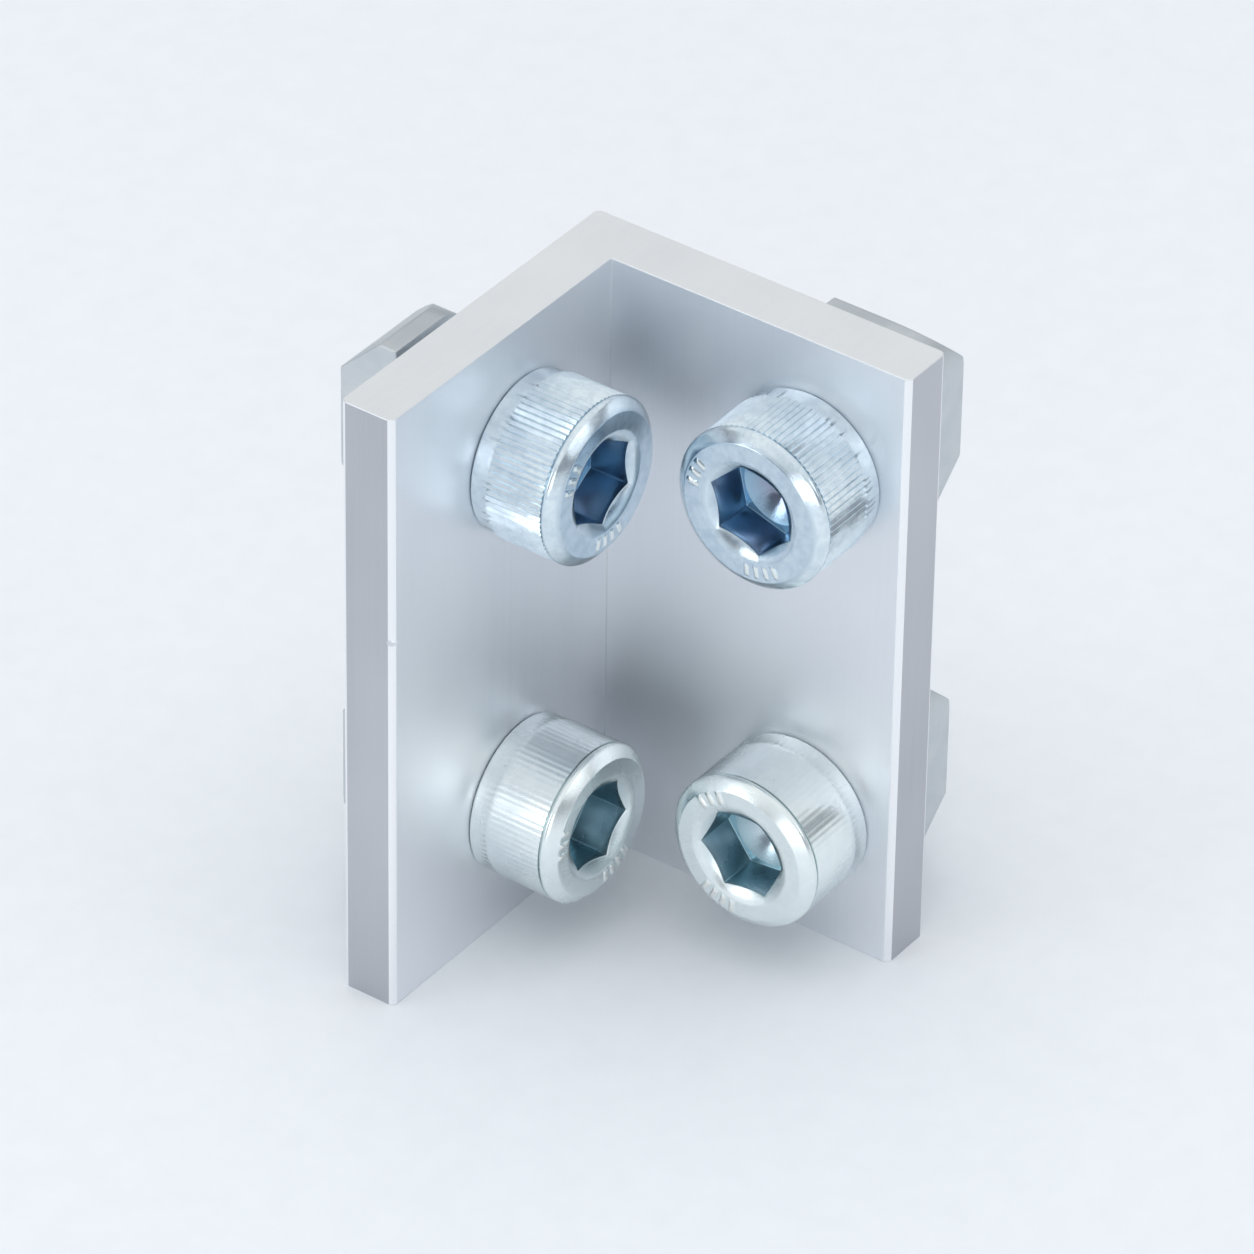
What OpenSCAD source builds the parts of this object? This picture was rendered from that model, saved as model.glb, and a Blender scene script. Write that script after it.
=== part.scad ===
// Angle bracket for slotted aluminium framing, upright as it sits in the corner of a frame.
// A cut length of equal-leg angle is held by two socket cap screws in each leg,
// and each screw pulls on a turn-in nut that stands behind the lips of a slot.
// Millimetres. The origin is the outer corner of the angle at its lower end.
// The left leg runs along +X, the right leg along +Y, and the angle stands up along +Z.

/* [Angle] */
// Length of the left leg, from the outer corner along X
left_leg = 20; // [17:0.5:40]
// Length of the right leg, from the outer corner along Y
right_leg = 20; // [19:0.5:40]
// Height that the angle is sawn to
height = 34; // [32:0.5:80]
// Wall thickness of both legs
thickness = 3; // [2:0.1:4]
// Radius of the fillet inside the corner
inner_fillet = 0.4; // [0.1:0.1:1.5]
// Radius on the long outer edges of the section
edge_round = 0.35; // [0.1:0.05:0.8]

/* [Holes] */
// Height from one hole to the next, which is the pitch of the frame's slots
hole_spacing = 20; // [12:0.5:22]
// Distance from the outer corner to the holes of the left leg
left_hole = 10; // [8.5:0.25:12]
// Distance from the outer corner to the holes of the right leg, past the heads on the left leg
right_hole = 14.5; // [13.5:0.25:15.5]
// Radial clearance of a hole around the screw
hole_clearance = 0.25; // [0.1:0.05:0.6]
// Width of the deburred edge of a hole
hole_deburr = 0.2; // [0.05:0.05:0.5]

/* [Cap screws] */
// Thread diameter
screw_d = 5; // [4:0.5:6]
// Diameter of the head over the knurl
head_d = 8.5; // [7.5:0.1:9.5]
// Height of the head
head_h = 5; // [4:0.1:6]
// Width of the socket across its flats
socket_flats = 4; // [3:0.5:5]
// Depth of the socket's flats
socket_depth = 2.5; // [1.5:0.1:3]
// How much wider the countersunk mouth of the socket is than its flats
mouth_margin = 0.8; // [0.2:0.1:1.4]
// How much narrower the drilled end of the socket is than its flats
drill_margin = 0.1; // [0.05:0.05:0.6]
// Width of the flat that the drill's point leaves at the end of the socket
drill_point = 0.4; // [0.2:0.1:0.8]
// Number of knurl ridges round the head
knurl_ridges = 72; // [48:2:96]
// Depth of the knurl
knurl_depth = 0.12; // [0.05:0.01:0.25]
// Height of the plain band under the knurl
plain_band = 1; // [0.4:0.1:2]
// How far the knurl's ridges stand above the plain band
ridge_rise = 0.06; // [0.02:0.01:0.1]
// Width of the bevel round the face of the head
rim_bevel = 0.45; // [0.2:0.05:0.9]
// Width of the bevel under the head
seat_bevel = 0.2; // [0.05:0.05:0.5]
// Width of the bevel at the tip of the thread
tip_bevel = 0.6; // [0.2:0.1:1]
// How far the tip stops short of the back of the nut
tip_setback = 0.4; // [0:0.1:1.2]

/* [Slot nuts] */
// Thickness of the slot lip that is clamped between the angle and a nut
slot_lip = 2.1; // [2.1:0.1:3]
// Length of a nut across the slot, behind both lips
nut_across = 10; // [9:0.25:11]
// Width of a nut along the slot
nut_along = 6; // [5.75:0.25:9]
// Thickness of a nut
nut_thick = 3.3; // [2.5:0.1:4.5]
// Length of the back of a nut across the slot, past its sloping flanks
nut_back = 5.6; // [5.5:0.1:8]
// Thickness of the straight edge of a nut, where its flanks begin
nut_edge = 1; // [0.5:0.1:2]
// Radius of the two corners that clear the slot as the nut turns
nut_corner = 2.7; // [1:0.1:2.8]
// Width of the bevel at each end of the nut's thread
nut_bevel = 0.3; // [0.1:0.05:0.5]
// Radial clearance of the nut's thread around the screw
thread_clearance = 0.05; // [0.02:0.01:0.1]

/* [Hidden] */
// Each screw has its leg, its height on the leg and the turn of its socket in degrees.
lower_hole = (height - hole_spacing) / 2;
upper_hole = (height + hole_spacing) / 2;
PLACES = [
    ["left_upper", "left", upper_hole, 31],
    ["left_lower", "left", lower_hole, 49],
    ["right_upper", "right", upper_hole, 43],
    ["right_lower", "right", lower_hole, 6],
];

screw_r = screw_d / 2;
head_r = head_d / 2;
screw_length = thickness + slot_lip + nut_thick - tip_setback;
hole_r = screw_r + hole_clearance;
// A drilled end, a socket mouth and a screw tip all have points or bevels of this slope.
drill_slope = tan(30);
// Cutting shapes run this far past the faces that they cut.
overrun = 1;
$fn = 64;

// Puts a fitting on its leg: local +Z is the way the screw backs out, local +Y is up,
// and the local origin lies on the leg's inner face at the middle of the hole.
module on_leg(place) {
    at_left = place[1] == "left";
    along = at_left ? [left_hole, thickness] : [thickness, right_hole];
    translate([along[0], along[1], place[2]])
        rotate([90, 0, at_left ? 180 : 90])
            children();
}

// Takes off one square corner of a section and leaves an arc. The corner points to +X and +Y.
module corner_off(radius) {
    translate([-radius, -radius])
        difference() {
            square(radius + overrun);
            circle(radius);
        }
}

module angle_section() {
    difference() {
        union() {
            square([left_leg, thickness]);
            square([thickness, right_leg]);
            translate([thickness, thickness]) square(inner_fillet);
        }
        translate([thickness + inner_fillet, thickness + inner_fillet]) circle(inner_fillet);
        rotate(180) corner_off(edge_round);
        translate([left_leg, 0]) rotate(-90) corner_off(edge_round);
        translate([left_leg, thickness]) corner_off(edge_round);
        translate([thickness, right_leg]) corner_off(edge_round);
        translate([0, right_leg]) rotate(90) corner_off(edge_round);
    }
}

// A drilled hole through a leg, with both of its edges broken.
module screw_hole() {
    translate([0, 0, -thickness - overrun])
        cylinder(r = hole_r, h = thickness + 2 * overrun);
    for (end = [0, 1])
        translate([0, 0, -end * thickness])
            rotate([end * 180, 0, 0])
                translate([0, 0, -hole_deburr])
                    cylinder(r1 = hole_r, r2 = hole_r + 2 * hole_deburr, h = 2 * hole_deburr);
}

module angle_bracket() {
    color([0.76, 0.78, 0.81])
        difference() {
            linear_extrude(height) angle_section();
            for (place = PLACES) on_leg(place) screw_hole();
        }
}

function on_circle(radius, angle) = [radius * cos(angle), radius * sin(angle)];

module knurl_outline() {
    step = 360 / knurl_ridges;
    polygon([
        for (i = [0 : knurl_ridges - 1], half = [0, 1])
            on_circle(head_r - half * knurl_depth, (i + half / 2) * step)
    ]);
}

// The plain turned shape: shank, bevelled tip and the plain band at the foot of the head.
module turned_blank() {
    band_r = head_r - ridge_rise;
    rotate_extrude()
        polygon([
            [0, -screw_length],
            [screw_r - tip_bevel, -screw_length],
            [screw_r, -screw_length + tip_bevel],
            [screw_r, 0],
            [band_r - seat_bevel, 0],
            [band_r, seat_bevel],
            [band_r, plain_band],
            [0, plain_band],
        ]);
}

module knurled_head() {
    intersection() {
        linear_extrude(head_h) knurl_outline();
        rotate_extrude()
            polygon([
                [0, plain_band],
                [head_r + overrun, plain_band],
                [head_r + overrun, head_h - rim_bevel - overrun],
                [head_r - rim_bevel, head_h],
                [0, head_h],
            ]);
    }
}

module hex_socket(turn) {
    flat_r = socket_flats / 2;
    mouth_r = flat_r + mouth_margin / 2;
    drill_r = flat_r - drill_margin / 2;
    point_r = drill_point / 2;
    translate([0, 0, head_h - socket_depth]) {
        rotate(turn)
            linear_extrude(socket_depth + overrun)
                circle(r = flat_r / cos(30), $fn = 6);
        mirror([0, 0, 1])
            cylinder(r1 = drill_r, r2 = point_r, h = (drill_r - point_r) * drill_slope);
        cylinder(r = drill_r, h = socket_depth / 2);
    }
    translate([0, 0, head_h - mouth_r * drill_slope])
        cylinder(r1 = 0, r2 = 2 * mouth_r, h = 2 * mouth_r * drill_slope);
}

module cap_screw(turn) {
    color([0.80, 0.86, 0.88])
        difference() {
            union() {
                turned_blank();
                knurled_head();
            }
            hex_socket(turn);
        }
}

// The nut as seen along the screw: two opposite corners are round, the other two stop its turn.
module nut_plan() {
    difference() {
        square([nut_along, nut_across], center = true);
        for (half_turn = [0, 180])
            rotate(half_turn)
                translate([nut_along / 2, nut_across / 2])
                    corner_off(nut_corner);
    }
}

// The nut as seen along the slot: a straight edge behind the lips, then sloping flanks.
module nut_section() {
    polygon([
        [-nut_across / 2, 0],
        [nut_across / 2, 0],
        [nut_across / 2, -nut_edge],
        [nut_back / 2, -nut_thick],
        [-nut_back / 2, -nut_thick],
        [-nut_across / 2, -nut_edge],
    ]);
}

module slot_nut() {
    bore_r = screw_r + thread_clearance;
    color([0.62, 0.65, 0.67])
        translate([0, 0, -thickness - slot_lip])
            difference() {
                intersection() {
                    rotate([90, 0, 90])
                        linear_extrude(nut_along + 2 * overrun, center = true) nut_section();
                    translate([0, 0, -nut_thick - overrun])
                        linear_extrude(nut_thick + 2 * overrun) nut_plan();
                }
                translate([0, 0, -nut_thick - overrun])
                    cylinder(r = bore_r, h = nut_thick + 2 * overrun);
                for (end = [0, 1])
                    translate([0, 0, -end * nut_thick])
                        rotate([end * 180, 0, 0])
                            translate([0, 0, -nut_bevel])
                                cylinder(r1 = bore_r, r2 = bore_r + 2 * nut_bevel, h = 2 * nut_bevel);
            }
}

angle_bracket();
for (place = PLACES) {
    on_leg(place) cap_screw(place[3]);
    on_leg(place) slot_nut();
}
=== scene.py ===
"""An angle bracket for slotted framing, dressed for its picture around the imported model."""

import math

import bmesh
import bpy
from mathutils import Matrix, Vector, noise


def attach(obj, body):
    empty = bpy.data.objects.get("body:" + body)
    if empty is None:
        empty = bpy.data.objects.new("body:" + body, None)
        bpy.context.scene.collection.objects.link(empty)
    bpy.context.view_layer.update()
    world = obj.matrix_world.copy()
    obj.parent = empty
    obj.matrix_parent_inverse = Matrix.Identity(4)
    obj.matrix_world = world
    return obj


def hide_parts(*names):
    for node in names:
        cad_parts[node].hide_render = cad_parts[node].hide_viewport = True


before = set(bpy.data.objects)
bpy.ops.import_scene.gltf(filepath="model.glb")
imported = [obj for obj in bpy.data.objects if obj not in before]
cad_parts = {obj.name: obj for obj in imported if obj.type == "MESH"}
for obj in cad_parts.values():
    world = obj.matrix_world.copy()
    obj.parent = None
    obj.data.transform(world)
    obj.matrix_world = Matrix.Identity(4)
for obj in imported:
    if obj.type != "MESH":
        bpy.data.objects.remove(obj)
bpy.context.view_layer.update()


# The angle
# A cut length of extruded aluminium angle, sawn square at both ends, drilled with four
# clearance holes, deburred and then clear anodised. Lengths are in millimetres.
leg_length = 20
leg_thickness = 3
angle_height = 34
inner_fillet = 0.06
long_edge_round = 0.35
sawn_edge_round = 0.05
hole_radius = 2.75
hole_deburr = 0.2
left_hole = 10
right_hole = 14.5
lower_hole = 7
upper_hole = 27
# A metre in millimetres, how far a cutter runs past a face, and a hair's breadth.
metre = 1000
overrun = 1
hair = 0.01


def on_leg(leg, height):
    """The place of a fitting: its Z leaves the leg's inner face, its Y points up."""
    if leg == "left":
        turn = Matrix(((-1, 0, 0), (0, 0, 1), (0, 1, 0)))
        place = Vector((left_hole, leg_thickness, height))
    else:
        turn = Matrix(((0, 0, 1), (1, 0, 0), (0, 1, 0)))
        place = Vector((leg_thickness, right_hole, height))
    return Matrix.Translation(place) @ turn.to_4x4()


def join_rings(work, low, high):
    """Faces between two rings of points. The second may have fewer points, or be one point."""
    if len(high) == 1:
        for k in range(len(low)):
            work.faces.new((low[k], low[(k + 1) % len(low)], high[0]))
        return
    share = len(low) // len(high)
    for k in range(len(high)):
        foot = [low[(k * share + i) % len(low)] for i in range(share + 1)]
        work.faces.new(foot + [high[(k + 1) % len(high)], high[k]])


def skin(name, rings):
    """A closed piece through rings of points; an end that is no single point gets a flat cap."""
    work = bmesh.new()
    loops = [[work.verts.new(point) for point in ring] for ring in rings]
    for low, high in zip(loops, loops[1:]):
        if len(low) < len(high) or len(low) == 1:
            join_rings(work, high, low)
        else:
            join_rings(work, low, high)
    for end in (loops[0], loops[-1]):
        if len(end) > 1:
            work.faces.new(end)
    bmesh.ops.recalc_face_normals(work, faces=work.faces)
    mesh = bpy.data.meshes.new(name)
    work.to_mesh(mesh)
    work.free()
    piece = bpy.data.objects.new(name, mesh)
    bpy.context.scene.collection.objects.link(piece)
    return piece


def settle(piece):
    """Makes what the modifiers do to a piece part of its mesh."""
    bpy.context.view_layer.update()
    worked = piece.evaluated_get(bpy.context.evaluated_depsgraph_get())
    mesh = bpy.data.meshes.new_from_object(worked)
    piece.modifiers.clear()
    piece.data = mesh
    mesh.name = piece.name


def cut(piece, cutter, operation="DIFFERENCE"):
    """Cuts one piece by another, which is then thrown away."""
    change = piece.modifiers.new("cut", "BOOLEAN")
    change.operation = operation
    change.solver = "EXACT"
    change.object = cutter
    settle(piece)
    bpy.data.objects.remove(cutter)


def finish_mesh(piece, crease=30):
    """Smooth shading up to a crease, flat faces kept flat, and millimetres made metres."""
    piece.data.transform(Matrix.Scale(1 / metre, 4))
    piece.data.shade_smooth()
    piece.data.set_sharp_from_angle(angle=math.radians(crease))
    evened = piece.modifiers.new("evened", "WEIGHTED_NORMAL")
    evened.keep_sharp = True
    settle(piece)


def turned(name, profile, around):
    """A turned piece about its own Z, from (radius, height) points along its outline."""
    rings = []
    for radius, height in profile:
        if radius == 0:
            rings.append([(0, 0, height)])
            continue
        steps = [2 * math.pi * k / around for k in range(around)]
        rings.append([(radius * math.cos(a), radius * math.sin(a), height) for a in steps])
    return skin(name, rings)


def angle_ring(inset, height, steps=8):
    """The angle's section at one height, drawn in by an inset all round."""
    corners = (
        (0, 0, long_edge_round),
        (leg_length, 0, long_edge_round),
        (leg_length, leg_thickness, long_edge_round),
        (leg_thickness, leg_thickness, inner_fillet),
        (leg_thickness, leg_length, long_edge_round),
        (0, leg_length, long_edge_round),
    )
    ring = []
    for k, (x, y, radius) in enumerate(corners):
        corner = Vector((x, y))
        arriving = (corner - Vector(corners[k - 1][:2])).normalized()
        leaving = (Vector(corners[(k + 1) % len(corners)][:2]) - corner).normalized()
        outward = arriving.cross(leaving) > 0
        centre = corner + (leaving - arriving) * radius
        reach = radius - inset if outward else radius + inset
        for step in range(steps + 1):
            a = math.pi / 2 * step / steps
            point = centre + (arriving * math.sin(a) - leaving * math.cos(a)) * reach
            ring.append((point.x, point.y, height))
    return ring


sawn_edge = []
edge_steps = 3
for step in range(edge_steps + 1):
    a = math.pi / 2 * step / edge_steps
    inset = sawn_edge_round * (1 - math.sin(a))
    rise = sawn_edge_round * (1 - math.cos(a))
    sawn_edge.append((inset, rise))
rings = [angle_ring(inset, rise) for inset, rise in sawn_edge]
rings += [angle_ring(inset, angle_height - rise) for inset, rise in reversed(sawn_edge)]
angle = skin("angle", rings)

# A drill with its two countersinks: the edge of a hole is a short curve from face to bore.
hole_outline = [
    (0, overrun),
    (hole_radius + hole_deburr + overrun, overrun),
    (hole_radius + hole_deburr, 0),
    (hole_radius + 0.3 * hole_deburr, -0.75 * hole_deburr),
    (hole_radius, -1.5 * hole_deburr),
    (hole_radius, 1.5 * hole_deburr - leg_thickness),
    (hole_radius + 0.3 * hole_deburr, 0.75 * hole_deburr - leg_thickness),
    (hole_radius + hole_deburr, -leg_thickness),
    (hole_radius + hole_deburr + overrun, -leg_thickness - overrun),
    (0, -leg_thickness - overrun),
]
for leg in ("left", "right"):
    for height in (lower_hole, upper_hole):
        drill = turned("drill", hole_outline, 96)
        drill.data.transform(on_leg(leg, height))
        cut(angle, drill)

# Small knocks on the edges of the legs, each with its middle and its size along X, Y and Z.
knock_steps = 8
knocks = (
    ((20.04, 3.03, 21.4), (0.44, 0.40, 0.20)),
    ((3.06, 20.02, 34.02), (0.22, 0.22, 0.14)),
    ((20.05, 3.03, 33.4), (0.20, 0.16, 0.10)),
)
for middle, size in knocks:
    steps = [math.pi * k / knock_steps for k in range(1, knock_steps)]
    outline = [(0, -1)] + [(math.sin(a), -math.cos(a)) for a in steps] + [(0, 1)]
    knock = turned("knock", outline, 2 * knock_steps)
    knock.data.transform(Matrix.Translation(middle) @ Matrix.Diagonal((*size, 1)))
    cut(angle, knock)
finish_mesh(angle)


def add(finish, kind, sockets, **settings):
    """One node of a finish. A socket takes a number, a colour or another node's output."""
    made = finish.node_tree.nodes.new(kind)
    for name, value in settings.items():
        setattr(made, name, value)
    for name, value in sockets.items():
        if isinstance(value, bpy.types.NodeSocket):
            finish.node_tree.links.new(value, made.inputs[name])
        else:
            made.inputs[name].default_value = value
    return made


def new_finish(name, metallic):
    """A material and its shader, with the piece's own coordinates, which are in metres."""
    finish = bpy.data.materials.new(name)
    finish.use_nodes = True
    shader = finish.node_tree.nodes["Principled BSDF"]
    shader.inputs["Metallic"].default_value = metallic
    place = add(finish, "ShaderNodeTexCoord", {})
    return finish, shader, place.outputs["Object"]


def grain(finish, place, stretch, detail=3.0, roughness=0.55):
    """Noise with so many grains per millimetre along X, Y and Z."""
    scaled = add(
        finish,
        "ShaderNodeMapping",
        {"Vector": place, "Scale": tuple(metre * s for s in stretch)},
    )
    sockets = {
        "Vector": scaled.outputs["Vector"],
        "Scale": 1.0,
        "Detail": detail,
        "Roughness": roughness,
    }
    return add(finish, "ShaderNodeTexNoise", sockets).outputs["Fac"]


def span(finish, value, low, high, to_low, to_high):
    """Carries a value from one range to another, and stops at its ends."""
    sockets = {
        "Value": value,
        "From Min": low,
        "From Max": high,
        "To Min": to_low,
        "To Max": to_high,
    }
    return add(finish, "ShaderNodeMapRange", sockets).outputs["Result"]


def blend_colours(finish, share, first, second):
    """Mixes two colours by a share."""
    made = add(finish, "ShaderNodeMix", {0: share}, data_type="RGBA")
    for index, value in ((6, first), (7, second)):
        if isinstance(value, bpy.types.NodeSocket):
            finish.node_tree.links.new(value, made.inputs[index])
        else:
            made.inputs[index].default_value = value
    return made.outputs[2]


def relief(finish, height, depth, below=None):
    """Bump from a height, with its depth in millimetres, on top of another relief."""
    sockets = {"Height": height, "Distance": depth / metre, "Strength": 1.0}
    if below is not None:
        sockets["Normal"] = below
    return add(finish, "ShaderNodeBump", sockets).outputs["Normal"]


def anodised_finish(name, light, dark, satin, lines, line_depth):
    """Clear anodised aluminium, satin, with the marks of the tool that made the face."""
    finish, shader, place = new_finish(name, 1.0)
    marks = grain(finish, place, lines, detail=4.0, roughness=0.6)
    cloud = grain(finish, place, (0.12, 0.12, 0.06), detail=2.0)
    frost = grain(finish, place, (22, 22, 22), detail=1.0)
    toned = blend_colours(finish, span(finish, cloud, 0.3, 0.7, 0, 1), dark, light)
    streaked = blend_colours(finish, span(finish, marks, 0.35, 0.75, 0, 0.5), toned, light)
    finish.node_tree.links.new(streaked, shader.inputs["Base Color"])
    rough = span(finish, marks, 0.3, 0.7, satin - 0.03, satin + 0.03)
    finish.node_tree.links.new(rough, shader.inputs["Roughness"])
    lined = relief(finish, marks, line_depth, relief(finish, frost, 0.0012))
    finish.node_tree.links.new(lined, shader.inputs["Normal"])
    return finish


# Each finish has its name, its light and dark tone, its roughness, the marks on it in grains
# per millimetre along X, Y and Z, and their depth.
angle_finishes = (
    (
        "anodised_extruded_face",
        (0.88, 0.90, 0.93, 1),
        (0.80, 0.827, 0.87, 1),
        0.45,
        (5, 5, 0.03),
        0.003,
    ),
    (
        "anodised_sawn_face",
        (0.92, 0.94, 0.945, 1),
        (0.85, 0.87, 0.88, 1),
        0.52,
        (0.3, 7, 0.3),
        0.005,
    ),
    (
        "anodised_drilled_face",
        (0.74, 0.75, 0.77, 1),
        (0.62, 0.64, 0.67, 1),
        0.30,
        (2, 2, 9),
        0.006,
    ),
    # The tip finish is painted darker than the faces: a painted dark reflection on the end faces
    # of the legs.
    (
        "leg_tip_painted_dark_reflection",
        (0.56, 0.57, 0.60, 1),
        (0.47, 0.48, 0.51, 1),
        0.34,
        (7, 7, 0.03),
        0.004,
    ),
    # The long edge finish is near white and glossier: a painted highlight along the rounded long
    # edges at the leg ends.
    (
        "long_edge_painted_highlight",
        (0.98, 0.98, 0.99, 1),
        (0.92, 0.93, 0.95, 1),
        0.24,
        (5, 5, 0.05),
        0.002,
    ),
    # The inside corner finish is darker than the faces: painted shade along the inner fillet.
    (
        "inside_corner_painted_shade",
        (0.76, 0.79, 0.82, 1),
        (0.64, 0.67, 0.70, 1),
        0.45,
        (9, 9, 0.1),
        0.002,
    ),
)
for name, light, dark, satin, lines, line_depth in angle_finishes:
    finish = anodised_finish(name, light, dark, satin, lines, line_depth)
    angle.data.materials.append(finish)
# Every face has the first finish, unless it is one of these.
sawn_face, drilled_face, dark_reflection_tip, highlit_long_edge, shaded_inside_corner = range(1, 6)
hole_middles = [on_leg(leg, z) for leg in ("left", "right") for z in (lower_hole, upper_hole)]
for face in angle.data.polygons:
    middle = face.center * metre
    level = abs(face.normal.z) > 0.9
    upright = abs(face.normal.z) < 0.1
    oblique = min(abs(face.normal.x), abs(face.normal.y)) > 0.15
    at_end = not 0.5 < middle.z < angle_height - 0.5
    if level and at_end:
        face.material_index = sawn_face
        continue
    # The end faces of the legs take the darker tip finish, a painted dark reflection.
    if upright and max(middle.x, middle.y) > leg_length - hair:
        face.material_index = dark_reflection_tip
    if upright and oblique:
        # The rounded long edges at the leg ends take the painted highlight.
        if max(middle.x, middle.y) > leg_length - long_edge_round:
            face.material_index = highlit_long_edge
        # The inner fillet takes the painted shade.
        elif min(middle.x, middle.y) > leg_thickness - hair:
            face.material_index = shaded_inside_corner
    for hole in hole_middles:
        inside = hole.inverted() @ middle
        if math.hypot(inside.x, inside.y) < hole_radius + hole_deburr and inside.z < hair:
            if abs(inside.z + leg_thickness / 2) < leg_thickness / 2 - hair:
                face.material_index = drilled_face
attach(angle, "root")
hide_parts("angle_bracket")


# The cap screws
# Four short socket head screws through the legs, cold headed with a knurled side and a punched
# hexagon, thread rolled and zinc plated. The upper pair is passivated blue, and the lower pair
# a paler green.
head_radius = 4.25
plain_head_radius = 4.13
head_height = 5
socket_reach = 2.04
socket_corner = 0.07
socket_depth = 2.5
socket_foot = 0.04
foot_steps = 3
drill_radius = 1.90
drill_edge = 0.03
point_radius = 0.2
cone_slope = math.tan(math.radians(30))
mouth_radius = 2.70
lip_inner = 0.025
lip_outer = 0.03
lip_drop = 0.004
face_height = 4.92
face_steps = 12
face_edge = 0.02
stroke_angles = (136, 147, 158, 258, 268, 278, 288)
stroke_middle = 3.16
stroke_length = 0.34
stroke_width = 0.16
stroke_rise = 0.08
groove_foot = 4.24
groove_width = 0.07
groove_depth = 0.17
knurl_ridges = 84
samples_per_ridge = 6
knurl_rows = 10
knurl_step = 0.02
knurl_wear = 0.25
band_height = 1.0
seat_round = 0.2
seat_steps = 4
seat_edge = 3.25
neck_radius = 2.80
neck_length = 0.25
shank_radius = 2.5
thread_pitch = 0.8
thread_depth = 0.47
thread_crest = 0.08
thread_flank = 0.34
thread_softness = 0.35
thread_start = 0.6
thread_around = 72
thread_rows = 16
screw_length = 8
tip_bevel = 0.6
tip_edge = 0.08
tip_dish = 0.12
# The edge between a flat of the socket and its mouth: how far under the mouth, and how far out.
mouth_edge = ((0.05, 0), (0.012, 0.008), (0, 0.035))
# The rim round the face: how far in from the side of the head, and how far under its top.
rim_curve = (
    (0.58, 0.086),
    (0.56, 0.10),
    (0.13, 0.43),
    (0.07, 0.49),
    (0.02, 0.56),
    (0, 0.63),
    (0, 0.71),
    (0.03, 0.75),
)
# The colour changes over these spans: out of the socket, up to its mouth, up from its drilled
# end and up from the shank, which bound the painted shade in the socket; up to the face of the
# head; and up to the strokes on it, whose tops get a painted highlight.
out_of_socket = (2.38, 2.46)
up_to_mouth = (4.0, 4.8)
over_drilled_end = (1.9, 2.5)
over_shank = (0.8, 1.2)
up_to_face = (4.75, 4.90)
up_to_strokes = (4.94, 4.98)


def hexagon_reach(angle_round, flat, corner):
    """How far a hexagon with rounded corners reaches in a direction."""
    off_flat = (angle_round + math.pi / 6) % (math.pi / 3) - math.pi / 6
    off_flat = abs(off_flat)
    if off_flat <= math.atan((flat - corner) * math.tan(math.pi / 6) / flat):
        return flat / math.cos(off_flat)
    centre = (flat - corner) / math.cos(math.pi / 6)
    off_corner = math.pi / 6 - off_flat
    return centre * math.cos(off_corner) + math.sqrt(
        max(corner**2 - (centre * math.sin(off_corner)) ** 2, 0)
    )


def thread_radius(angle_round, height, deep):
    """The radius of a right-hand rolled thread, with rounded roots and crests."""
    phase = (height / thread_pitch - angle_round / (2 * math.pi)) % 1
    flank = min(max((abs(phase - 0.5) - thread_crest) / thread_flank, 0), 1)
    soft = flank * flank * (3 - 2 * flank)
    rise = thread_softness * soft + (1 - thread_softness) * flank
    return shank_radius - thread_depth * deep * (1 - rise)


def ring(radius_at, height_at, around=knurl_ridges * samples_per_ridge):
    """A ring of points. Its radius and its height are numbers, or follow the angle round it."""
    points = []
    for k in range(around):
        a = 2 * math.pi * k / around
        radius = radius_at(a) if callable(radius_at) else radius_at
        height = height_at(a) if callable(height_at) else height_at
        points.append((radius * math.cos(a), radius * math.sin(a), height))
    return points


def wall_radius(flat, out=0):
    """The wall of the socket, moved out a little."""
    return lambda a: hexagon_reach(a, flat, socket_corner) + out


def mouth_height(drop, out):
    """The cone of the mouth over a wall that is moved out a little, less a drop."""
    def height(a):
        short = mouth_radius - hexagon_reach(a, socket_reach, socket_corner) - out
        return face_height - drop - short * cone_slope
    return height


def socket_rings():
    """Up the socket, from its drilled end past its six walls to its countersunk mouth."""
    floor = head_height - socket_depth
    point = floor - (drill_radius - point_radius) * cone_slope
    rings = [
        [(0, 0, point)],
        ring(point_radius, point),
        ring((point_radius + drill_radius) / 2, (point + floor) / 2),
        ring(drill_radius - drill_edge, floor - drill_edge * cone_slope),
        ring(drill_radius + drill_edge, floor),
    ]
    for step in range(foot_steps + 1):
        a = math.pi / 2 * step / foot_steps
        flat = socket_reach - socket_foot * (1 - math.sin(a))
        rings.append(ring(wall_radius(flat), floor + socket_foot * (1 - math.cos(a))))
    for share in (0.35, 0.7):
        rings.append(ring(wall_radius(socket_reach), floor + socket_depth * share))
    for drop, out in mouth_edge:
        rings.append(ring(wall_radius(socket_reach, out), mouth_height(drop, out)))
    return rings


def stroke_height(radius):
    """The face of the head at a radius, with its short raised strokes."""
    def height(a):
        raised = 0
        for middle in stroke_angles:
            aside = (a - math.radians(middle) + math.pi) % (2 * math.pi) - math.pi
            across = max(1 - (aside * radius / stroke_width) ** 2, 0)
            along = max(1 - (abs(radius - stroke_middle) / stroke_length) ** 4, 0)
            raised = max(raised, math.sqrt(across * along))
        return face_height + stroke_rise * raised
    return height


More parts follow.
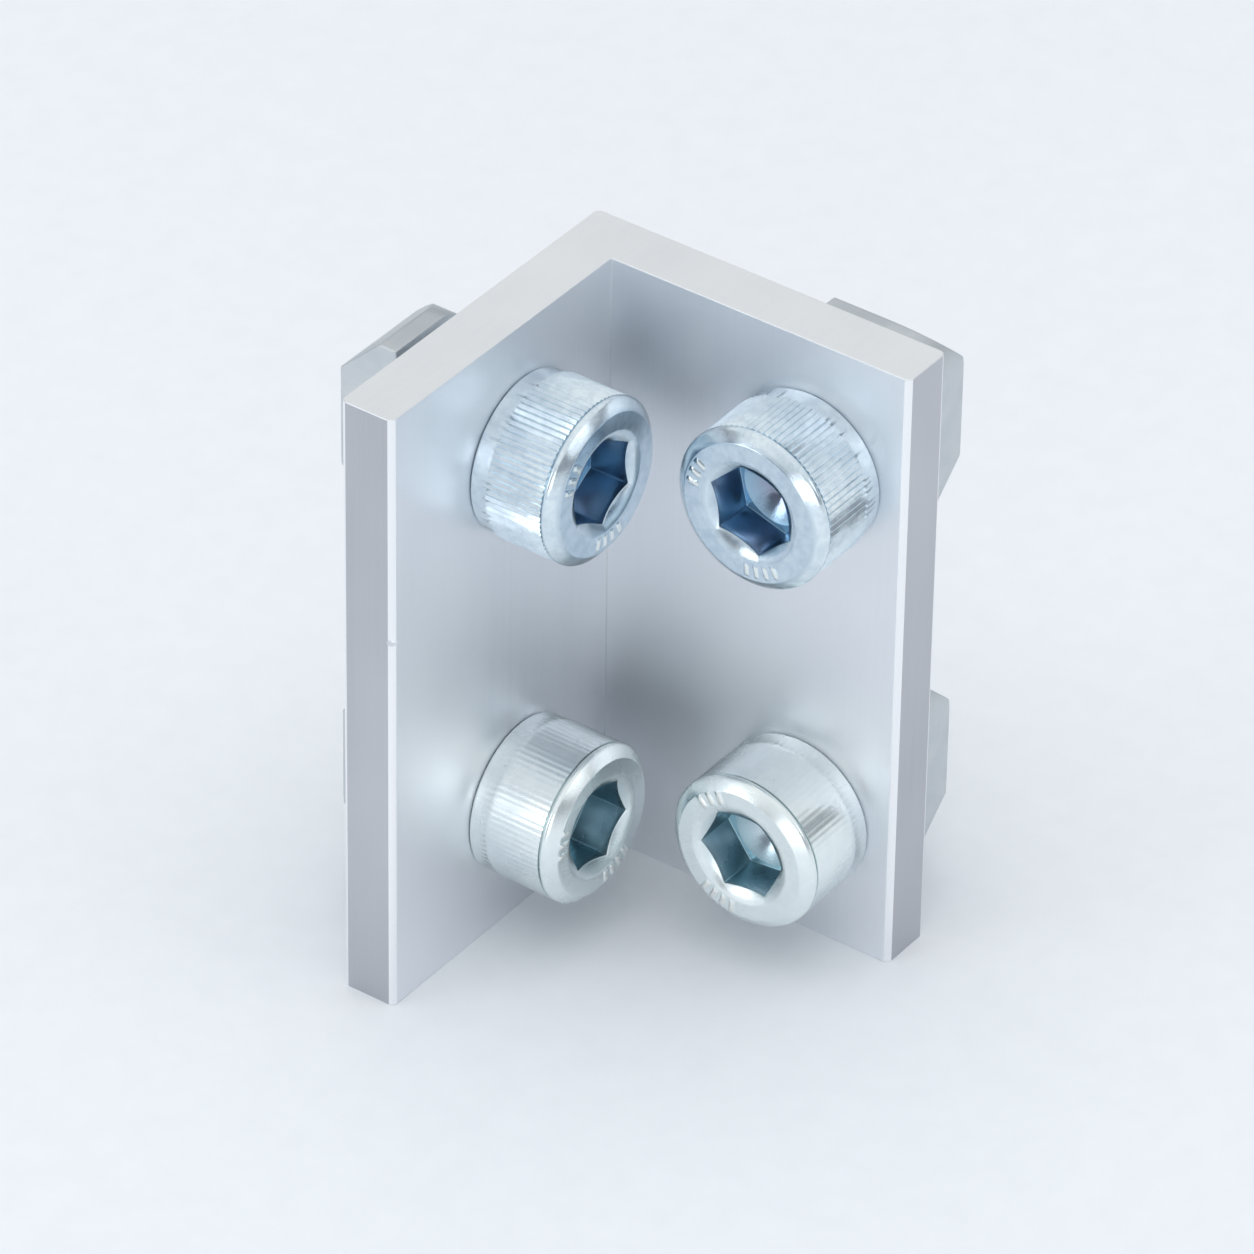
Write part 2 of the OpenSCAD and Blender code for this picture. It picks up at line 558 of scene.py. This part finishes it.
def face_rings(widest):
    """Out over the lip of the mouth and the face of the head, and round its rim."""
    rings = [
        ring(mouth_radius - lip_inner, face_height - lip_inner * cone_slope),
        ring(mouth_radius + lip_outer, face_height - lip_drop),
    ]
    inner = mouth_radius + 2 * lip_outer
    outer = widest - rim_curve[0][0] - face_edge
    for step in range(face_steps + 1):
        radius = inner + (outer - inner) * step / face_steps
        rings.append(ring(radius, stroke_height(radius)))
    for inset, drop in rim_curve:
        rings.append(ring(widest - inset, head_height - drop))
    return rings


def knurl_radius(widest, knurl_depth, height):
    """The knurled side of the head at a height. Its ridges are worn unevenly."""
    def radius(a):
        place = (a / (2 * math.pi) * knurl_ridges) % 1
        ridge = abs(2 * place - 1)
        where = Vector((9 * math.cos(a), 9 * math.sin(a), 0.8 * height))
        worn = 1 + knurl_wear * noise.noise(where)
        return widest - hair - knurl_depth * worn * (1 - ridge)
    return radius


def side_rings(widest, knurl_depth):
    """Down the side of the head: a groove, the knurl, a plain band and the rounded seat."""
    top = groove_foot - groove_width
    rings = [
        ring(widest - groove_depth, groove_foot),
        ring(widest - groove_depth, top),
    ]
    for row in range(knurl_rows + 1):
        down = (top - band_height - 2 * knurl_step) * row / knurl_rows
        height = top - knurl_step - down
        rings.append(ring(knurl_radius(widest, knurl_depth, height), height))
    band_radius = widest - knurl_depth - knurl_step
    rings.append(ring(band_radius, band_height))
    for step in range(seat_steps + 1):
        a = math.pi / 2 * step / seat_steps
        radius = band_radius - seat_round * (1 - math.cos(a))
        rings.append(ring(radius, seat_round * (1 - math.sin(a))))
    rings.append(ring(seat_edge, 0))
    return rings


def shank_rings():
    """Down the neck and the thread to the bevelled tip, which is slightly dished."""
    rings = [
        ring(neck_radius, 0, thread_around),
        ring(shank_radius, -neck_length, thread_around),
    ]
    threaded = screw_length - thread_start
    rows = round(threaded / thread_pitch * thread_rows)
    for row in range(rows + 1):
        height = -thread_start - threaded * row / rows
        deep = min(row / thread_rows, 1)
        bevel = shank_radius - tip_bevel + (height + screw_length)
        rings.append(
            ring(lambda a: min(thread_radius(a, height, deep), bevel), height, thread_around)
        )
    tip_radius = shank_radius - tip_bevel
    rings.append(ring(tip_radius - tip_edge, -screw_length, thread_around))
    rings.append(ring(tip_radius * 0.5, tip_dish * 0.8 - screw_length, thread_around))
    rings.append([(0, 0, -screw_length + tip_dish)])
    return rings


def zinc_finish(name, light, tint, dull, deep, drilled, specks_and_stroke_highlight, satin, face_dulling):
    """Bright zinc plate under a thin passivation film, with painted shade in its socket and
    painted highlights on its strokes.
    """
    finish, shader, place = new_finish(name, 1.0)

    def rising(value, edge, top=1):
        """Rises from nothing to its top between two places given in millimetres."""
        return span(finish, value, edge[0] / metre, edge[1] / metre, 0, top)

    def falling(value, edge):
        """Falls to nothing between two places given in millimetres."""
        return span(finish, value, edge[0] / metre, edge[1] / metre, 1, 0)

    def both(first, second):
        """The share that two shares have in common."""
        made = add(finish, "ShaderNodeMath", {0: first, 1: second}, operation="MULTIPLY")
        return made.outputs[0]

    def rougher(where, change, below):
        """Adds a change of roughness where a share says so."""
        sockets = {0: where, 1: change, 2: below}
        made = add(finish, "ShaderNodeMath", sockets, operation="MULTIPLY_ADD")
        return made.outputs[0]

    flat = add(finish, "ShaderNodeVectorMath", {0: place, 1: (1, 1, 0)}, operation="MULTIPLY")
    length = add(finish, "ShaderNodeVectorMath", {0: flat.outputs[0]}, operation="LENGTH")
    off_axis = length.outputs["Value"]
    up = add(finish, "ShaderNodeSeparateXYZ", {"Vector": place}).outputs["Z"]
    in_socket = both(falling(off_axis, out_of_socket), falling(up, up_to_mouth))
    in_socket = both(in_socket, rising(up, over_shank))
    on_walls = both(in_socket, rising(up, over_drilled_end))

    cloud = grain(finish, place, (0.35, 0.35, 0.35), detail=3.0)
    blotches = grain(finish, place, (2.1, 2.1, 2.1), detail=3.0, roughness=0.6)
    specks = grain(finish, place, (9, 9, 9), detail=2.0)
    film = blend_colours(finish, span(finish, cloud, 0.35, 0.65, 0, 1), light, tint)
    dulled = blend_colours(finish, span(finish, blotches, 0.38, 0.64, 0, 0.4), film, dull)
    side = blend_colours(finish, span(finish, specks, 0.5, 0.68, 0, 0.35), dulled, specks_and_stroke_highlight)
    face = blend_colours(finish, span(finish, blotches, 0.36, 0.62, 0, 0.55), dull, tint)
    outside = blend_colours(finish, rising(up, up_to_face, face_dulling), side, face)
    # Painted highlight: the tops of the raised strokes are coloured pale.
    outside = blend_colours(finish, rising(up, up_to_strokes), outside, specks_and_stroke_highlight)
    # Painted shade: the drilled end and the walls of the socket are coloured darker than the
    # outside.
    colour = blend_colours(finish, in_socket, outside, drilled)
    colour = blend_colours(finish, on_walls, colour, deep)
    finish.node_tree.links.new(colour, shader.inputs["Base Color"])

    worn = span(finish, cloud, 0.3, 0.7, satin - 0.05, satin + 0.05)
    rough = rougher(on_walls, 0.10, rougher(in_socket, -0.08, worn))
    finish.node_tree.links.new(rough, shader.inputs["Roughness"])

    plate = grain(finish, place, (30, 30, 30), detail=1.0)
    ripples = grain(finish, place, (2.2, 2.2, 2.2), detail=2.0)
    pitted = relief(finish, specks, 0.0025, relief(finish, plate, 0.0010))
    waved = relief(finish, ripples, 0.005, pitted)
    finish.node_tree.links.new(waved, shader.inputs["Normal"])
    return finish


blue_zinc = zinc_finish(
    "blue_passivated_zinc",
    light=(0.80, 0.895, 0.94, 1),
    tint=(0.69, 0.80, 0.87, 1),
    dull=(0.45, 0.56, 0.66, 1),
    # The deep and drilled colours are painted shade in the socket.
    deep=(0.31, 0.47, 0.61, 1),
    drilled=(0.27, 0.30, 0.39, 1),
    # This pale colour tints the specks on the side and is the painted highlight on the stroke
    # tops.
    specks_and_stroke_highlight=(0.80, 0.85, 0.84, 1),
    satin=0.20,
    face_dulling=0.85,
)
green_zinc = zinc_finish(
    "green_passivated_zinc",
    light=(0.87, 0.94, 0.94, 1),
    tint=(0.80, 0.87, 0.88, 1),
    dull=(0.75, 0.83, 0.84, 1),
    # The deep and drilled colours are painted shade in the socket.
    deep=(0.36, 0.51, 0.57, 1),
    drilled=(0.52, 0.61, 0.67, 1),
    # This pale colour tints the specks on the side and is the painted highlight on the stroke
    # tops.
    specks_and_stroke_highlight=(0.87, 0.89, 0.86, 1),
    satin=0.27,
    face_dulling=0.0,
)
# Each screw has its node, its leg, the height of its hole, the turn of its socket in degrees,
# the radius of its head, the depth of its knurl and its plating.
screws = (
    ("cap_screw_left_upper", "left", upper_hole, 31, head_radius, 0.11, blue_zinc),
    ("cap_screw_left_lower", "left", lower_hole, 49, plain_head_radius, 0.015, green_zinc),
    ("cap_screw_right_upper", "right", upper_hole, 43, head_radius, 0.10, blue_zinc),
    ("cap_screw_right_lower", "right", lower_hole, 6, plain_head_radius, 0.008, green_zinc),
)
for node, leg, height, turn, radius, knurl_depth, plating in screws:
    rings = socket_rings() + face_rings(radius) + side_rings(radius, knurl_depth) + shank_rings()
    screw = skin("dressed_" + node, rings)
    screw.data.transform(Matrix.Rotation(math.radians(turn - 30), 4, "Z"))
    finish_mesh(screw, crease=50)
    screw.data.materials.append(plating)
    place = on_leg(leg, height)
    place.translation /= metre
    screw.matrix_world = place
    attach(screw, "root")
    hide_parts(node)


# The slot nuts
# Four flat steel nuts that go into a slot edgeways and turn until two square corners stop
# them. Milled from bar, threaded and zinc plated, they sit behind the lips of the slots.
slot_lip = 2.1
nut_across = 10
nut_along = 6
nut_thick = 3.3
nut_back = 5.6
nut_edge = 1
nut_corner = 2.7
nut_bevel = 0.3
nut_edge_round = 0.12
bore_gap = 0.05
thread_gap = 0.04
tap_rows = 80


def nut_plan(steps=10):
    """The nut seen along its screw: two corners are square and two are round."""
    x, y = nut_along / 2, nut_across / 2
    points = []
    for k in range(steps + 1):
        a = math.pi / 2 * k / steps
        inward = nut_corner * (1 - math.cos(a))
        points.append((x - inward, y - nut_corner * (1 - math.sin(a))))
    points.append((-x, y))
    points += [(-p[0], -p[1]) for p in points]
    return points


def made_nut():
    """One nut about its screw's axis, with its front face behind the lips of the slot."""
    front = -leg_thickness - slot_lip
    back = front - nut_thick
    plan = nut_plan()
    nut = skin("nut", [[(x, y, z) for x, y in plan] for z in (back - overrun, front)])
    flank_slope = (nut_thick - nut_edge) / (nut_across / 2 - nut_back / 2)
    wide = nut_across / 2 + overrun
    shoulder = front - nut_edge + flank_slope * overrun
    section = [
        (-wide, front + overrun),
        (wide, front + overrun),
        (wide, shoulder),
        (nut_back / 2, back),
        (-nut_back / 2, back),
        (-wide, shoulder),
    ]
    reach = nut_along / 2 + 2 * overrun
    bar = skin("bar", [[(x, y, z) for y, z in section] for x in (-reach, reach)])
    cut(nut, bar, "INTERSECT")
    clean = bmesh.new()
    clean.from_mesh(nut.data)
    bmesh.ops.remove_doubles(clean, verts=clean.verts, dist=hair / 5)
    bmesh.ops.dissolve_limit(
        clean, angle_limit=math.radians(1), verts=clean.verts, edges=clean.edges
    )
    clean.to_mesh(nut.data)
    clean.free()
    broken = nut.modifiers.new("broken_edges", "BEVEL")
    broken.width = nut_edge_round
    broken.segments = 3
    broken.limit_method = "ANGLE"
    broken.angle_limit = math.radians(30)
    settle(nut)
    tap = []
    for row in range(tap_rows + 1):
        height = front + overrun / 2 - (nut_thick + overrun) * row / tap_rows
        from_face = min(front - height, height - front + nut_thick)
        sink = shank_radius + bore_gap + nut_bevel - max(from_face, -overrun / 2)
        tap.append(
            ring(
                lambda a: max(thread_radius(a, height, 1) + thread_gap, sink),
                height,
                thread_around,
            )
        )
    cut(nut, skin("tap", tap))
    return nut


def nut_finish():
    """Dull zinc on milled steel, with the mill's fine parallel marks."""
    finish, shader, place = new_finish("dull_zinc_on_milled_steel", 1.0)
    marks = grain(finish, place, (0.4, 7, 7), detail=3.0)
    cloud = grain(finish, place, (0.3, 0.3, 0.3), detail=2.0)
    toned = blend_colours(
        finish,
        span(finish, cloud, 0.3, 0.7, 0, 1),
        (0.56, 0.60, 0.63, 1),
        (0.68, 0.71, 0.72, 1),
    )
    finish.node_tree.links.new(toned, shader.inputs["Base Color"])
    rough = span(finish, marks, 0.3, 0.7, 0.42, 0.54)
    finish.node_tree.links.new(rough, shader.inputs["Roughness"])
    finish.node_tree.links.new(relief(finish, marks, 0.004), shader.inputs["Normal"])
    return finish


plain_nut = made_nut()
finish_mesh(plain_nut, crease=35)
plain_nut.data.materials.append(nut_finish())
for node, leg, height in (
    ("slot_nut_left_upper", "left", upper_hole),
    ("slot_nut_left_lower", "left", lower_hole),
    ("slot_nut_right_upper", "right", upper_hole),
    ("slot_nut_right_lower", "right", lower_hole),
):
    nut = bpy.data.objects.new("dressed_" + node, plain_nut.data.copy())
    bpy.context.scene.collection.objects.link(nut)
    place = on_leg(leg, height)
    place.translation /= metre
    nut.matrix_world = place
    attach(nut, "root")
    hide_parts(node)
bpy.data.objects.remove(plain_nut)


# The floor
# A wide sheet of pale matt board under the bracket, which keeps its soft shadow. Lengths are
# in metres from here on.
board_side = 4.0
board_thickness = 0.002
half = board_side / 2
board_corners = ((-half, -half), (half, -half), (half, half), (-half, half))
board = skin(
    "floor_board",
    [[(x, y, z) for x, y in board_corners] for z in (-board_thickness, 0)],
)
finish, shader, place = new_finish("pale_matt_board", 0.0)
tooth = grain(finish, place, (0.5, 0.5, 0.5), detail=3.0)
shade = blend_colours(
    finish,
    span(finish, tooth, 0.3, 0.7, 0, 1),
    (0.79, 0.82, 0.85, 1),
    (0.81, 0.84, 0.87, 1),
)
finish.node_tree.links.new(shade, shader.inputs["Base Color"])
shader.inputs["Roughness"].default_value = 0.7
shader.inputs["Specular IOR Level"].default_value = 0.2
board.data.materials.append(finish)


# The studio
# Pale walls all round with a dim band above the horizon, which the metal mirrors, and four
# soft lamps.
world = bpy.data.worlds.new("pale_studio")
bpy.context.scene.world = world
world.use_nodes = True
sky = world.node_tree
sky.nodes.clear()
place = add(world, "ShaderNodeTexCoord", {})
parts = add(world, "ShaderNodeSeparateXYZ", {"Vector": place.outputs["Generated"]})
ramp = add(world, "ShaderNodeValToRGB", {"Fac": parts.outputs["Z"]})
ramp.color_ramp.elements[0].position = 0.0
ramp.color_ramp.elements[0].color = (0.86, 0.89, 0.94, 1)
ramp.color_ramp.elements[1].position = 1.0
ramp.color_ramp.elements[1].color = (1.0, 1.0, 1.0, 1)
for position, colour in (
    (0.08, (0.79, 0.83, 0.87, 1)),
    (0.18, (0.26, 0.28, 0.31, 1)),
    (0.40, (0.34, 0.36, 0.40, 1)),
    (0.50, (0.88, 0.90, 0.92, 1)),
):
    made = ramp.color_ramp.elements.new(position)
    made.color = colour
seen = add(world, "ShaderNodeBackground", {"Color": ramp.outputs["Color"], "Strength": 1.0})
fill = add(world, "ShaderNodeBackground", {"Color": (0.92, 0.95, 1.0, 1), "Strength": 0.66})
rays = add(world, "ShaderNodeLightPath", {})
shown = add(
    world,
    "ShaderNodeMath",
    {0: rays.outputs["Is Camera Ray"], 1: rays.outputs["Is Glossy Ray"]},
    operation="MAXIMUM",
)
shown = add(
    world,
    "ShaderNodeMath",
    {0: shown.outputs[0], 1: rays.outputs["Is Transmission Ray"]},
    operation="MAXIMUM",
)
sockets = {0: shown.outputs[0], 1: fill.outputs[0], 2: seen.outputs[0]}
walls = add(world, "ShaderNodeMixShader", sockets)
add(world, "ShaderNodeOutputWorld", {"Surface": walls.outputs[0]})

# Each lamp has its name, place, size in metres, power in watts and colour, and whether the
# metal mirrors it. The overhead one only lights, so that the sawn end stays grey from all sides.
bracket_middle = Vector((0.007, 0.007, 0.017))
lamps = (
    ("overhead_softbox", (0.05, 0.00, 0.62), (0.80, 0.80), 2.25, (1.0, 0.99, 0.97), False),
    ("right_softbox", (-0.06, 0.52, 0.28), (0.30, 0.20), 0.16, (0.97, 0.98, 1.0), True),
    ("left_softbox", (0.45, -0.25, 0.18), (0.20, 0.16), 0.32, (0.97, 0.98, 1.0), True),
    ("front_softbox", (0.47, 0.32, 0.15), (0.36, 0.18), 0.42, (1.0, 1.0, 1.0), True),
)
for name, place, size, power, colour, mirrored in lamps:
    light = bpy.data.lights.new(name, "AREA")
    light.shape = "RECTANGLE"
    light.size, light.size_y = size
    light.energy = power
    light.color = colour
    lamp = bpy.data.objects.new(name, light)
    bpy.context.scene.collection.objects.link(lamp)
    lamp.location = place
    aim = bracket_middle - Vector(place)
    lamp.rotation_mode = "QUATERNION"
    lamp.rotation_quaternion = aim.to_track_quat("-Z", "Y")
    lamp.visible_camera = False
    lamp.visible_glossy = mirrored


# The camera
# It stands where the photograph was taken from, turned to the middle of the bracket, with a
# longer lens. Its level leans by the photograph's small roll.
camera_place = Vector((0.2961, 0.2134, 0.2737))
camera_aim = Vector((0.0073, 0.0073, 0.0170))
camera_roll = math.radians(0.92)
lens = bpy.data.cameras.new("camera")
lens.lens = 265
lens.sensor_width = 36
lens.clip_start = 0.01
lens.clip_end = 20
camera = bpy.data.objects.new("camera", lens)
bpy.context.scene.collection.objects.link(camera)
camera.location = camera_place
camera.rotation_mode = "QUATERNION"
toward = (camera_aim - camera_place).to_track_quat("-Z", "Y")
lean = Matrix.Rotation(camera_roll, 4, "Z").to_quaternion()
camera.rotation_quaternion = toward @ lean
bpy.context.scene.camera = camera
bpy.context.scene.view_settings.view_transform = "Standard"
